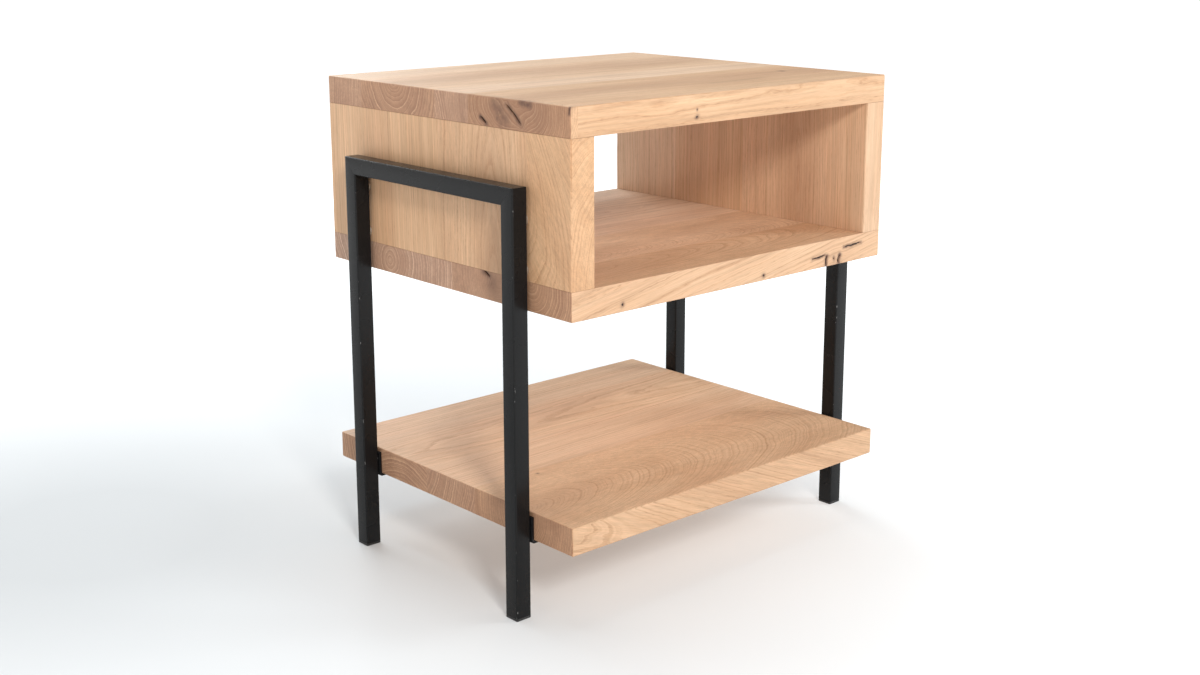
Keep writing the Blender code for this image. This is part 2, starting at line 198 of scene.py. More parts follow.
def ripple(points, seed, scale, waves=6):
    """A smooth wobble between about -1 and 1: a sum of sine waves in random directions."""
    rng = np.random.default_rng(seed)
    ways = rng.normal(size=(waves, points.shape[-1])) / scale
    phases = rng.uniform(0, 2 * np.pi, waves)
    return np.sin(points @ ways.T + phases).sum(axis=-1) / math.sqrt(waves)


def line_distance(points, line):
    """Distance of 2-D points to a chain of segments, and how far along it (0 to 1) they lie."""
    if len(line) == 1:
        return np.linalg.norm(points - line[0], axis=-1), np.full(len(points), 0.5)
    starts, spans = line[:-1], np.diff(line, axis=0)
    lengths = np.linalg.norm(spans, axis=1)
    offset = points[:, None] - starts
    share = np.clip((offset * spans).sum(-1) / lengths**2, 0, 1)
    away = np.linalg.norm(offset - share[..., None] * spans, axis=-1)
    nearest = away.argmin(axis=1)
    rows = np.arange(len(points))
    before = np.concatenate([[0], np.cumsum(lengths)[:-1]])
    along = before[nearest] + share[rows, nearest] * lengths[nearest]
    return away[rows, nearest], along / lengths.sum()


def board_lines(low, high, ease, step, joints=(), flaws=()):
    """Grid lines of a board along one axis: dense on the eased edges and across each flaw.

    flaws holds start, end and pace of each finer stretch, a pace of n keeping every nth line.
    """
    turn = 1 - np.tan(np.radians(EASE_TURN))
    edges = [np.append(size * turn, size + HOLDING_LINE) for size in ease]
    fixed = np.concatenate([low + edges[0], high - edges[1], np.array(joints, float)])
    inner_low, inner_high = low + edges[0].max(), high - edges[1].max()
    even = np.linspace(inner_low, inner_high, max(2, round((inner_high - inner_low) / step) + 1))
    fine = []
    for start, end, pace in flaws:
        first, last = round(start / FLAW_STEP / pace), round(end / FLAW_STEP / pace)
        fine.append(np.arange(first, last + 1) * pace)
    fine = np.unique(np.concatenate(fine)) * FLAW_STEP if fine else np.zeros(0)
    fine = fine[(fine > inner_low) & (fine < inner_high)]
    lines = np.sort(fixed)
    for more, gap in ((fine, FLAW_STEP * 0.45), (even[1:-1], step * 0.3)):
        near = np.abs(more[:, None] - lines).min(axis=1) if len(more) else np.zeros(0)
        more = np.sort(more[near > gap])
        if len(more):
            more = more[np.concatenate([[True], np.diff(more) > gap])]
        lines = np.sort(np.concatenate([lines, more]))
    return lines


def box_patches(lines):
    """Points and outward quads of a box gridded by three sets of lines, equal corners shared."""
    points, quads = [], []
    total = 0
    for axis in range(3):
        across, up = (axis + 1) % 3, (axis + 2) % 3
        for side in (0, -1):
            a, b = np.meshgrid(lines[across], lines[up], indexing="ij")
            patch = np.zeros(a.shape + (3,))
            patch[..., axis], patch[..., across], patch[..., up] = lines[axis][side], a, b
            index = total + np.arange(a.size).reshape(a.shape)
            corners = [index[:-1, :-1], index[1:, :-1], index[1:, 1:], index[:-1, 1:]]
            if side == 0:
                corners.reverse()
            quads.append(np.stack(corners, axis=-1).reshape(-1, 4))
            points.append(patch.reshape(-1, 3))
            total += a.size
    points, quads = np.concatenate(points), np.concatenate(quads)
    keys = np.round(points * 1e7).astype(np.int64)
    _, first, merged = np.unique(keys, axis=0, return_index=True, return_inverse=True)
    return points[first], merged.reshape(-1)[quads]


def ease_edges(points, low, high, ease, seed):
    """p = c + e d / |d| with d = (q - c) / e, where c is the box point q kept e inside each face.

    Flats stay flat and edges become quarter ellipses, as wide as each face's own ease e. They are
    worn a little deeper here and there, by a ripple that only acts where d is diagonal. Returns
    points and directions.
    """
    core = np.clip(points, low + ease[:, 0], high - ease[:, 1])
    size = np.where(points < (low + high) / 2, ease[:, 0], ease[:, 1])
    way = (points - core) / size
    way /= np.linalg.norm(way, axis=1, keepdims=True)
    diagonal = (1 - np.abs(way).max(axis=1)) / (1 - math.sqrt(0.5))
    wear = np.clip(0.35 * (1.0 + ripple(points, seed, 0.018)) * diagonal, 0, 0.7)
    return core + way * size * (1 - wear)[:, None], way


def press_flaws(points, way, low, high, flaws, seed):
    """Opens cracks and stains knots: inside a flaw's width, which tapers to its ends, the surface
    sinks along its normal, and a halo of stain fades out round it. The grain is read closer to the
    knot by k (c - p) exp(-(d / h)^2), so that it flows round. Returns points, stain, crack, pull.
    """
    middle = (low + high) / 2
    stain, crack = np.zeros(len(points)), np.zeros(len(points))
    sink, pull = np.zeros(len(points)), np.zeros(points.shape)
    for number, flaw in enumerate(flaws):
        in_face = [axis for axis in range(3) if axis != flaw.axis]
        face = high[flaw.axis] if flaw.side > 0 else low[flaw.axis]
        close = smooth(1 - np.abs(points[:, flaw.axis] - face) / 0.004)
        flat = points[:, in_face] - middle[in_face]
        wander = ripple(flat, seed + number, 0.0035)[:, None] * 0.0005 + flat
        away, along = line_distance(wander, flaw.line)
        taper = np.sqrt(np.clip(1 - (2 * along - 1) ** 2, 0.02, 1)) if len(flaw.line) > 1 else 1.0
        half = flaw.width / 2 * taper
        open_here = smooth(1.35 - away / np.maximum(half, 1e-5)) * close
        sink = np.maximum(sink, open_here * flaw.depth)
        crack = np.maximum(crack, open_here if flaw.width > 0 else 0)
        halo = np.exp(-((away / flaw.halo) ** 2)) * close
        stain = np.maximum(stain, halo * flaw.dark)
        swirl = np.exp(-((away / (flaw.halo * SWIRL_REACH)) ** 2)) * close * SWIRL
        pull[:, in_face] += (flaw.line.mean(axis=0) - flat) * swirl[:, None]
    return points - way * sink[:, None], stain, crack, pull


def board_ease(node):
    """How far each face's edges are eased, as low and high along X, Y and Z."""
    ease = np.full((3, 2), BOARD_EASE)
    both = [0, 1]
    jointed = {"top_board": [0], "bottom_board": [1], "left_side_panel": both, "right_side_panel": both}
    ease[2, jointed.get(node, [])] = JOINT_EASE
    return ease


def make_board(node, grain, staves, flaws, stands_for, material, seed):
    """An edge-glued board in place of its CAD node, with what its wood figure needs on it."""
    low, high = (np.array(corner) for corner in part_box(node))
    ease = board_ease(node)
    if grain == "z":
        low, high = low - (0, 0, JOINT_CLOSING), high + (0, 0, JOINT_CLOSING)
    middle = (low + high) / 2
    along, across, depth = WOOD_AXES[grain]
    joints = middle[across] + np.array([stave.start for stave in staves[1:]])
    lines = []
    for axis in range(3):
        spans = []
        for flaw in flaws:
            in_face = [other for other in range(3) if other != flaw.axis]
            if axis in in_face:
                reach = middle[axis] + flaw.line[:, in_face.index(axis)]
                room = FLAW_MARGIN + flaw.width / 2
                if flaw.width > 0:
                    spans.append((reach.min() - room, reach.max() + room, 1))
                room += flaw.halo
                spans.append((reach.min() - room, reach.max() + room, HALO_PACE))
        step = FACE_STEP if axis != depth else FACE_STEP / 2
        own_joints = joints if axis == across else ()
        lines.append(board_lines(low[axis], high[axis], ease[axis], step, own_joints, spans))
    box_points, quads = box_patches(lines)
    points, way = ease_edges(box_points, low, high, ease, seed)
    points, stain, crack, pull = press_flaws(points, way, low, high, flaws, seed + 50)
    piece = new_piece(node + "_oak", points, quads.tolist(), material, stands_for, 40.0)

    centres = box_points[quads].mean(axis=1)[:, across]
    which = np.searchsorted(joints, centres)
    corners = (points + pull)[quads] - middle
    u = corners[..., along]
    pith = np.array([stave.pith for stave in staves])[which][:, None]
    lean = np.array([stave.lean for stave in staves])[which][:, None]
    v = corners[..., across] - pith[..., 0] - lean[..., 0] * u
    w = corners[..., depth] - pith[..., 1] - lean[..., 1] * u
    put_vectors(piece, "grain", "CORNER", np.stack([u, v, w], axis=-1))
    strip = [(seed * 1.7 + number * 2.3, stave.tone, stave.ring) for number, stave in enumerate(staves)]
    strip = np.repeat(np.array(strip)[which][:, None], 4, axis=1)
    put_vectors(piece, "stave", "CORNER", strip)
    end_share = smooth(way[:, along] ** 2 * 1.4 - 0.2)
    put_vectors(piece, "skin", "POINT", np.stack([end_share, stain, crack], axis=-1))
    return piece


def put_vectors(piece, name, domain, values):
    """A vector attribute on the mesh, for the material to read."""
    attribute = piece.data.attributes.new(name, "FLOAT_VECTOR", domain)
    attribute.data.foreach_set("vector", np.ascontiguousarray(values, dtype=np.float32).ravel())


# ----------------------------------------------------------------------------- steel and plastic
def make_frame(side, material):
    """One inverted U of square tube: the outline is carried up, across and down, mitred.

    Ring point = centre + a X + b N, where N is the run's outward way, and across the weld the sum
    of both ways, so that those rings lie along the mitre. Both ends fold in to the tube's wall and
    are capped inside.
    """
    front_low, front_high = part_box(side + "_front_leg")
    _, rear_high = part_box(side + "_rear_leg")
    centre_x = (front_low.x + front_high.x) / 2
    front_y, rear_y = front_low.y + TUBE / 2, rear_high.y - TUBE / 2
    foot_z, top_z = front_low.z, front_high.z - TUBE / 2
    corner = TUBE / 2
    shifts = (-WELD_HALF, -WELD_HALF / 2, 0.0, WELD_HALF / 2, WELD_HALF)
    stations = [(front_y, z, (-1.0, 0.0), 0.0) for z in np.linspace(foot_z, top_z - corner * 2, 12)]
    for y, z, before, after in ((front_y, top_z, (-1, 0), (0, 1)), (rear_y, top_z, (0, 1), (1, 0))):
        along_mitre = (before[0] + after[0], before[1] + after[1])
        for shift in shifts:
            way = before if shift < 0 else after
            spot = (y + way[1] * shift, z - way[0] * shift)
            hollow = WELD_HOLLOW if shift == 0 else 0.0
            stations.append((*spot, along_mitre, hollow))
        if y == front_y:
            span = np.linspace(front_y + corner * 2, rear_y - corner * 2, 7)
            stations += [(place, top_z, (0.0, 1.0), 0.0) for place in span]
    stations += [(rear_y, z, (1.0, 0.0), 0.0) for z in np.linspace(top_z - corner * 2, foot_z, 12)]
    rings = [tube_ring(centre_x, *station, TUBE, TUBE_CORNER) for station in stations]
    bore, bore_corner = TUBE - 2 * TUBE_WALL, TUBE_CORNER - TUBE_WALL
    inside = [tube_ring(centre_x, *station, bore, bore_corner) for station in (stations[0], stations[-1])]
    lift = np.array([0, 0, GLIDE_FLANGE * 6])
    rings = [inside[0] + lift, inside[0], *rings, inside[1], inside[1] + lift]
    points, faces = stack(np.array(rings))
    nodes = [side + end for end in ("_front_leg", "_top_bar", "_rear_leg")]
    piece = new_piece(side + "_frame_tube", points, faces, material, nodes)
    edge = np.concatenate([corner_share(ring) for ring in rings])
    put_vectors(piece, "skin", "POINT", np.stack([edge, edge * 0, edge * 0], axis=-1))
    return piece


def tube_ring(x, y, z, outward, hollow, side, radius):
    """The tube's outline at one station, across X and the outward way in Y and Z."""
    outline = rounded_square(side - 2 * hollow, radius)[:, ::-1]
    ring = np.zeros((len(outline), 3))
    ring[:, 0] = x + outline[:, 0]
    ring[:, 1] = y + outline[:, 1] * outward[0]
    ring[:, 2] = z + outline[:, 1] * outward[1]
    return ring


def corner_share(ring):
    """1 at the middle of each rounded corner of a tube ring and 0 on its flats."""
    step = np.arange(len(ring)) % (TUBE_CORNER_STEPS + 1)
    return np.sin(np.pi * step / TUBE_CORNER_STEPS)


def make_glide(node, material):
    """A plastic foot: rounded squares from the floor up, a flange and then the plug in the tube."""
    low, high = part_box(node)
    centre = ((low.x + high.x) / 2, (low.y + high.y) / 2, low.z)
    bore = TUBE - 2 * TUBE_WALL - 2 * GLIDE_PLUG_GAP
    top = high.z - low.z
    turn = np.radians(np.linspace(0, 90, 5))
    sides = list(TUBE - 2 * GLIDE_ROUND * (1 - np.sin(turn)))
    heights = list(GLIDE_ROUND * (1 - np.cos(turn)))
    sides += [TUBE, TUBE - GLIDE_ROUND, TUBE - 2 * GLIDE_ROUND, bore, bore, bore - 2 * GLIDE_ROUND]
    heights += [GLIDE_FLANGE - GLIDE_ROUND, GLIDE_FLANGE - GLIDE_ROUND / 3, GLIDE_FLANGE, GLIDE_FLANGE,
                top - GLIDE_ROUND, top]
    outlines = np.array([rounded_square(side, TUBE_CORNER * min(1, side / TUBE)) for side in sides])
    points, faces = stack(placed(outlines, heights, centre, (1, 0, 0), (0, 1, 0), (0, 0, 1)))
    return new_piece(node + "_moulded", points, faces, material, [node])


def make_bracket(node, material):
    """A bent steel plate under the shelf's end: its L outline is carried along Y, edges broken."""
    low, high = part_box(node)
    outward = 1 if low.x > 0 else -1
    corner_x = high.x if outward > 0 else low.x
    reach, rise = high.x - low.x, high.z - low.z
    bend = PLATE + PLATE_INNER_BEND

    def outline(inset):
        outer = arc((bend, bend), bend - inset, 180, 270, 8)
        inner = arc((bend, bend), PLATE_INNER_BEND + inset, 270, 180, 4)
        ends = [(reach - inset, inset), (reach - inset, PLATE - inset)]
        tips = [(PLATE - inset, rise - inset), (inset, rise - inset)]
        return np.concatenate([outer, ends, inner, tips])

    insets = [PLATE_EDGE, PLATE_EDGE * 0.3, 0, 0, PLATE_EDGE * 0.3, PLATE_EDGE]
    edge = [0, PLATE_EDGE * 0.3, PLATE_EDGE]
    width = high.y - low.y
    places = edge + [width - step for step in reversed(edge)]
    outlines = np.array([outline(inset) for inset in insets])
    if outward > 0:
        outlines = outlines[:, ::-1]
    start = (corner_x, low.y, low.z)
    points, faces = stack(placed(outlines, places, start, (-outward, 0, 0), (0, 0, 1), (0, 1, 0)))
    points, faces = facing_out(points, faces)
    return new_piece(node + "_bent_plate", points, faces, material, [node])


def facing_out(points, faces):
    """The same closed skin with its faces turned outwards: its signed volume is made positive."""
    fans = [(face[0], *pair) for face in faces for pair in zip(face[1:-1], face[2:])]
    a, b, c = points[np.array(fans)].transpose(1, 0, 2)
    volume = (a * np.cross(b, c)).sum()
    return points, faces if volume > 0 else [face[::-1] for face in faces]


def hexagon(turn, across_flats):
    """Radius of a hexagon at each angle: half the flat distance over the cosine to its flat."""
    sixth = math.pi / 3
    return across_flats / 2 / np.cos((turn + sixth / 2) % sixth - sixth / 2)


def make_screw(node, axis, head_radius, head_height, shank_radius, socket, material):
    """A threaded screw in place of its CAD node, turned about its axis, its point at the far end.

    The radius is a function of height and angle: a hexagon in the socket, circles on the head, and
    on the shank a ridge that follows height / pitch - angle / full turn.
    """
    low, high = (np.array(corner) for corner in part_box(node))
    along = np.abs(np.array(axis)).argmax()
    forward = np.sign(axis[along])
    base = (low + high) / 2
    base[along] = low[along] if forward > 0 else high[along]
    length = high[along] - low[along]
    turn = np.linspace(0, 2 * math.pi, ROUND_POINTS, endpoint=False)
    circle = np.ones(ROUND_POINTS)
    socket_depth = head_height * 0.6
    rings = [(hexagon(turn, socket) * 0.2, socket_depth), (hexagon(turn, socket), socket_depth * 0.9),
             (hexagon(turn, socket), 0.00015), (hexagon(turn, socket * 1.08), 0.0),
             (circle * head_radius * 0.72, 0.0)]
    for degrees in (30, 60, 90):
        way = math.radians(degrees)
        radius = head_radius * (0.72 + 0.28 * math.sin(way))
        rings.append((circle * radius, head_height * 0.55 * (1 - math.cos(way))))
    rings += [(circle * head_radius, head_height * 0.9), (circle * head_radius * 0.96, head_height),
              (circle * shank_radius, head_height)]
    point = length * 0.2
    steps = int((length - head_height) / THREAD_PITCH * THREAD_STEPS)
    for height in np.linspace(head_height + THREAD_PITCH, length - 0.0004, steps):
        taper = min(1.0, (length - height) / point)
        ridge = 1 - np.abs(((height / THREAD_PITCH - turn / (2 * math.pi)) % 1.0) * 2 - 1)
        core = shank_radius - THREAD_DEPTH
        rings.append(((core * taper**0.7 + THREAD_DEPTH * ridge * min(1.0, taper * 1.5)), height))
    rings.append((circle * 0.0002, length))
    unit = np.stack([np.cos(turn), np.sin(turn)], axis=-1)
    outlines = np.array([radius[:, None] * unit for radius, _ in rings])
    right, up, way = np.roll(np.eye(3), -along - 1, axis=0)
    space = placed(outlines, [height for _, height in rings], base, right, up, way * forward)
    points, faces = facing_out(*stack(space))
    return new_piece(node + "_threaded", points, faces, material, [node])


def make_washer(node, hole, material):
    """A flat ring with broken edges: its small section is carried round the X axis."""
    low, high = (np.array(corner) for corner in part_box(node))
    centre = (low + high) / 2
    outer, thick, edge = (high[1] - low[1]) / 2, high[0] - low[0], 0.0002
    section = [(outer - edge, 0), (outer, edge), (outer, thick - edge), (outer - edge, thick),
               (hole / 2 + edge, thick), (hole / 2, thick - edge), (hole / 2, edge), (hole / 2 + edge, 0)]
    turn = np.linspace(0, 2 * math.pi, ROUND_POINTS, endpoint=False)
    circle = np.stack([np.cos(turn), np.sin(turn)], axis=-1)
    outlines = np.array([radius * circle for radius, _ in section])
    origin = (low[0], centre[1], centre[2])
    space = placed(outlines, [height for _, height in section], origin, (0, 1, 0), (0, 0, 1), (1, 0, 0))
    points, faces = facing_out(*stack(space, around=True))
    return new_piece(node + "_turned", points, faces, material, [node])


def make_dowel(node, material):
    """A fluted beech peg: the radius dips along even flutes and both ends are chamfered."""
    low, high = (np.array(corner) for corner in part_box(node))
    centre, radius, chamfer = (low + high) / 2, (high[0] - low[0]) / 2, 0.001
    turn = np.linspace(0, 2 * math.pi, 48, endpoint=False)
    flutes = 1 - 0.05 * np.abs(np.cos(6 * turn)) ** 6
    top = high[2] - low[2]
    heights = [0, chamfer, chamfer * 1.5, top / 2, top - chamfer * 1.5, top - chamfer, top]
    shrink = [1 - chamfer / radius, 1, 1, 1, 1, 1, 1 - chamfer / radius]
    circle = np.stack([np.cos(turn), np.sin(turn)], axis=-1) * (radius * flutes)[:, None]
    outlines = np.array([circle * share for share in shrink])
    origin = (centre[0], centre[1], low[2])
    space = placed(outlines, heights, origin, (1, 0, 0), (0, 1, 0), (0, 0, 1))
    points, faces = stack(space)
    return new_piece(node + "_fluted", points, faces, material, [node])


# --------------------------------------------------------------------------------- materials
class Finish:
    """A material's node tree. Each method adds a node and gives back its output."""

    def __init__(self, name, **sockets):
        self.material = bpy.data.materials.new(name)
        self.material.use_nodes = True
        self.tree = self.material.node_tree
        self.tree.nodes.clear()
        self.shader = self.tree.nodes.new("ShaderNodeBsdfPrincipled")
        output = self.tree.nodes.new("ShaderNodeOutputMaterial")
        self.tree.links.new(self.shader.outputs["BSDF"], output.inputs["Surface"])
        for socket, value in sockets.items():
            self.set(socket.replace("_", " "), value)

    def set(self, socket, value):
        self.feed(self.shader.inputs[socket], value)

    def feed(self, socket, value):
        if isinstance(value, bpy.types.NodeSocket):
            self.tree.links.new(value, socket)
        else:
            socket.default_value = value

    def attribute(self, name):
        node = self.tree.nodes.new("ShaderNodeAttribute")
        node.attribute_name = name
        return node.outputs["Vector"]

    def place(self):
        return self.tree.nodes.new("ShaderNodeTexCoord").outputs["Object"]

    def split(self, vector):
        node = self.tree.nodes.new("ShaderNodeSeparateXYZ")
        self.feed(node.inputs[0], vector)
        return node.outputs["X"], node.outputs["Y"], node.outputs["Z"]

    def join(self, x, y, z):
        node = self.tree.nodes.new("ShaderNodeCombineXYZ")
        for socket, value in zip(node.inputs, (x, y, z)):
            self.feed(socket, value)
        return node.outputs[0]

    def math(self, operation, *values, clamp=False):
        node = self.tree.nodes.new("ShaderNodeMath")
        node.operation = operation
        node.use_clamp = clamp
        for socket, value in zip(node.inputs, values):
            self.feed(socket, value)
        return node.outputs[0]

    def vector(self, operation, *values):
        node = self.tree.nodes.new("ShaderNodeVectorMath")
        node.operation = operation
        for socket, value in zip(node.inputs, values):
            self.feed(socket, value)
        return node.outputs["Value" if operation == "LENGTH" else "Vector"]

    def noise(self, place, stretch, detail=2.0, roughness=0.5, colour=False):
        """Soft noise of a place multiplied by the cells per metre along each of its axes."""
        node = self.tree.nodes.new("ShaderNodeTexNoise")
        self.feed(node.inputs["Vector"], self.vector("MULTIPLY", place, stretch))
        node.inputs["Scale"].default_value = 1.0
        node.inputs["Detail"].default_value = detail
        node.inputs["Roughness"].default_value = roughness
        return node.outputs["Color" if colour else "Fac"]

    def line_noise(self, value, scale, detail=1.0):
        """Soft noise along a single number."""
        node = self.tree.nodes.new("ShaderNodeTexNoise")
        node.noise_dimensions = "1D"
        self.feed(node.inputs["W"], self.math("MULTIPLY", value, scale))
        node.inputs["Scale"].default_value = 1.0
        node.inputs["Detail"].default_value = detail
        return node.outputs["Fac"]

    def dice(self, value):
        """A random number from 0 to 1 for each value."""
        node = self.tree.nodes.new("ShaderNodeTexWhiteNoise")
        node.noise_dimensions = "1D"
        self.feed(node.inputs["W"], value)
        return node.outputs["Value"]

    def step(self, value, low, high, bottom=0.0, top=1.0):
        """Smoothly from bottom to top while the value goes from low to high."""
        node = self.tree.nodes.new("ShaderNodeMapRange")
        node.interpolation_type = "SMOOTHSTEP"
        for name, number in (("From Min", low), ("From Max", high), ("To Min", bottom), ("To Max", top)):
            self.feed(node.inputs[name], number)
        self.feed(node.inputs["Value"], value)
        return node.outputs[0]

    def mix(self, share, first, second, blend="MIX"):
        """first, turned by share into second, as colours."""
        node = self.tree.nodes.new("ShaderNodeMix")
        node.data_type = "RGBA"
        node.blend_type = blend
        self.feed(node.inputs[0], share)
        for socket, value in ((node.inputs[6], first), (node.inputs[7], second)):
            self.feed(socket, (*value, 1.0) if isinstance(value, tuple) else value)
        return node.outputs[2]

    def bump(self, height, distance, strength=1.0):
        node = self.tree.nodes.new("ShaderNodeBump")
        node.inputs["Strength"].default_value = strength
        node.inputs["Distance"].default_value = distance
        self.feed(node.inputs["Height"], height)
        self.set("Normal", node.outputs["Normal"])


def oiled_oak():
    """Oak read as solid wood: rings from the distance to the pith, pores stretched along the grain."""
    oak = Finish("oiled_oak", IOR=1.45)
    grain = oak.attribute("grain")
    seed, tone, ring_gap = oak.split(oak.attribute("stave"))
    end, stain, crack = oak.split(oak.attribute("skin"))
    shifts = [oak.math("MULTIPLY", seed, rate) for rate in (0.73, 0.31, 0.57)]
    spot = oak.vector("ADD", grain, oak.join(*shifts))

    # the pith line wanders slowly, and the rings waver by shares of their own width
    bent = grain
    waver, shiver = oak.math("MULTIPLY", ring_gap, 1.15), oak.math("MULTIPLY", ring_gap, 0.30)
    for stretch, reach in (((2.6, 8, 8), 0.014), ((12, 45, 45), waver), ((60, 230, 230), shiver)):
        wander = oak.vector("SUBTRACT", oak.noise(spot, stretch, 2.0, 0.5, colour=True), (0.5, 0.5, 0.5))
        bent = oak.vector("ADD", bent, oak.vector("MULTIPLY", wander, oak.join(0.0, reach, reach)))
    distance = oak.vector("LENGTH", oak.vector("MULTIPLY", bent, (0.0, 1.0, 1.0)))
    years = oak.math("DIVIDE", distance, ring_gap)
    uneven = oak.line_noise(oak.math("ADD", years, seed), 0.37, 2.0)
    years = oak.math("MULTIPLY_ADD", uneven, 2.2, years)
    year = oak.math("FRACT", years)
    luck = oak.dice(oak.math("ADD", oak.math("FLOOR", years), seed))
    early = oak.math("SUBTRACT", 1.0, oak.step(year, 0.08, 0.40))
    early = oak.math("MULTIPLY", early, oak.step(year, 0.0, 0.06))
    thin = oak.step(oak.line_noise(oak.math("ADD", years, seed), 3.4, 2.0), 0.44, 0.66)
    heart = oak.math("SUBTRACT", 1.0, oak.step(distance, 0.004, 0.060))

    # pores are dashes on faces and dots on ends, crowded in each ring's early wood
    pore = oak.step(oak.noise(spot, (95, 1900, 1900), 1.0), 0.52, 0.68)
    pore = oak.math("MULTIPLY", pore, oak.math("MULTIPLY_ADD", early, 0.8, 0.2))
    fibre = oak.noise(spot, (22, 900, 900), 3.0, 0.65)
    streak = oak.noise(spot, (5, 260, 260), 2.0, 0.5)
    band = oak.noise(spot, (2.2, 75, 75), 2.0, 0.5)
    cloud = oak.noise(spot, (5, 26, 26), 3.0, 0.55)
    blush = oak.noise(spot, (3.1, 15, 15), 2.0)

    weight = oak.math("MULTIPLY_ADD", luck, 0.75, 0.25)
    ring = oak.math("MULTIPLY", early, weight)
    face = oak.mix(oak.step(cloud, 0.28, 0.72), (0.625, 0.396, 0.238), (0.715, 0.480, 0.305))
    face = oak.mix(oak.step(blush, 0.42, 0.75, 0.0, 0.35), face, (0.620, 0.362, 0.220))
    face = oak.mix(oak.math("MULTIPLY", ring, 0.52), face, (0.440, 0.235, 0.120))
    face = oak.mix(oak.math("MULTIPLY", thin, 0.26), face, (0.480, 0.265, 0.140))
    face = oak.mix(oak.math("MULTIPLY", pore, 0.42), face, (0.320, 0.160, 0.078))
    cut = oak.mix(oak.step(cloud, 0.25, 0.75), (0.380, 0.202, 0.116), (0.495, 0.285, 0.168))
    cut = oak.mix(oak.step(year, 0.50, 0.98, 0.0, 0.55), cut, (0.270, 0.130, 0.076))
    cut = oak.mix(oak.math("MULTIPLY", ring, 0.75), cut, (0.690, 0.440, 0.272))
    cut = oak.mix(oak.math("MULTIPLY", thin, 0.50), cut, (0.300, 0.155, 0.092))
    cut = oak.mix(oak.math("MULTIPLY", pore, 0.35), cut, (0.230, 0.120, 0.070))
    wood = oak.mix(end, face, cut)
    shade = oak.math("MULTIPLY_ADD", fibre, 0.46, 0.77)
    shade = oak.math("MULTIPLY", shade, oak.math("MULTIPLY_ADD", streak, 0.38, 0.81))
    shade = oak.math("MULTIPLY", shade, oak.math("MULTIPLY_ADD", band, 0.16, 0.92))
    # painted light and shade: the tone pulls blue most and red least, so a board's tone level darkens and
    # warms its shaded faces or pales its lit ones
    warmth_and_shade = [oak.math("MULTIPLY_ADD", tone, pull, 1.0) for pull in (1.0, 2.0, 3.6)]
    tint = [oak.math("MULTIPLY", shade, pull) for pull in warmth_and_shade]
    wood = oak.mix(1.0, wood, oak.join(*tint), "MULTIPLY")
    wood = oak.mix(oak.math("MULTIPLY", heart, 0.40), wood, (0.410, 0.225, 0.132))

    # knots and their smoke, then the inside of a crack painted near black: painted shade in the narrow
    # opening
    patch = oak.noise(oak.place(), (150, 150, 150), 3.0, 0.6)
    smoke = oak.math("MULTIPLY", stain, oak.step(patch, 0.2, 0.7, 0.55, 1.25), clamp=True)
    wood = oak.mix(smoke, wood, (0.130, 0.066, 0.046))
    # painted shade: the crack's opening is coloured near black for the shade inside it
    wood = oak.mix(oak.step(crack, 0.25, 0.8), wood, (0.022, 0.013, 0.010))
    oak.set("Base Color", wood)

    gloss = oak.math("MULTIPLY_ADD", cloud, 0.14, 0.47)
    gloss = oak.math("MULTIPLY_ADD", pore, 0.18, gloss)
    gloss = oak.math("MULTIPLY_ADD", end, 0.10, gloss)
    oak.set("Roughness", gloss)
    height = oak.math("MULTIPLY", pore, -1.0)
    height = oak.math("MULTIPLY_ADD", early, -0.35, height)
    height = oak.math("MULTIPLY_ADD", fibre, 0.5, height)
    oak.bump(height, 0.00007, 0.8)
    return oak.material


def powder_coat():
    """Satin black paint: a fine orange peel, slow cloudiness in its gloss, and rubbed corners."""
    coat = Finish("black_powder_coat", IOR=1.27)
    spot = coat.place()
    edge, _, _ = coat.split(coat.attribute("skin"))
    slow = coat.noise(spot, (22, 22, 22), 3.0)
    peel = coat.noise(spot, (1500, 1500, 1500), 1.0)
    grit = coat.noise(spot, (5200, 5200, 5200), 1.0)
    chip = coat.noise(spot, (420, 420, 160), 1.0)
    paint = coat.mix(slow, (0.0054, 0.0057, 0.0062), (0.0098, 0.0101, 0.0106))
    paint = coat.mix(coat.step(grit, 0.62, 0.78, 0.0, 0.5), paint, (0.035, 0.035, 0.036))
    rubbed = coat.math("MULTIPLY", edge, coat.step(chip, 0.70, 0.76))
    paint = coat.mix(rubbed, paint, (0.20, 0.20, 0.20))
    coat.set("Base Color", paint)
    coat.set("Roughness", coat.math("MULTIPLY_ADD", slow, 0.16, 0.19))
    coat.bump(coat.math("MULTIPLY_ADD", grit, 0.3, peel), 0.00002, 0.5)
    return coat.material


def zinc():
    """Bright zinc plate: a faint blue and straw bloom and fine turning marks."""
    plate = Finish("zinc_plate", Metallic=1.0)
    spot = plate.place()
    bloom = plate.noise(spot, (160, 160, 160), 2.0)
    marks = plate.noise(spot, (900, 900, 5000), 2.0)
    plate.set("Base Color", plate.mix(bloom, (0.56, 0.60, 0.66), (0.66, 0.64, 0.56)))
    plate.set("Roughness", plate.math("MULTIPLY_ADD", marks, 0.25, 0.22))
    plate.bump(marks, 0.00002, 0.4)
    return plate.material


def moulded_plastic():
    """Black glide plastic with a fine spark-eroded grain and a scuffed underside."""
    plastic = Finish("glide_plastic", IOR=1.5)
    spot = plastic.place()
    grain = plastic.noise(spot, (2600, 2600, 2600), 2.0)
    scuff = plastic.noise(spot, (90, 700, 300), 3.0)
    rubbed = plastic.step(scuff, 0.5, 0.8)
    plastic.set("Base Color", plastic.mix(rubbed, (0.016, 0.016, 0.017), (0.040, 0.040, 0.040)))
    plastic.set("Roughness", plastic.math("MULTIPLY_ADD", grain, 0.25, 0.42))
    plastic.bump(grain, 0.00003, 0.6)
    return plastic.material


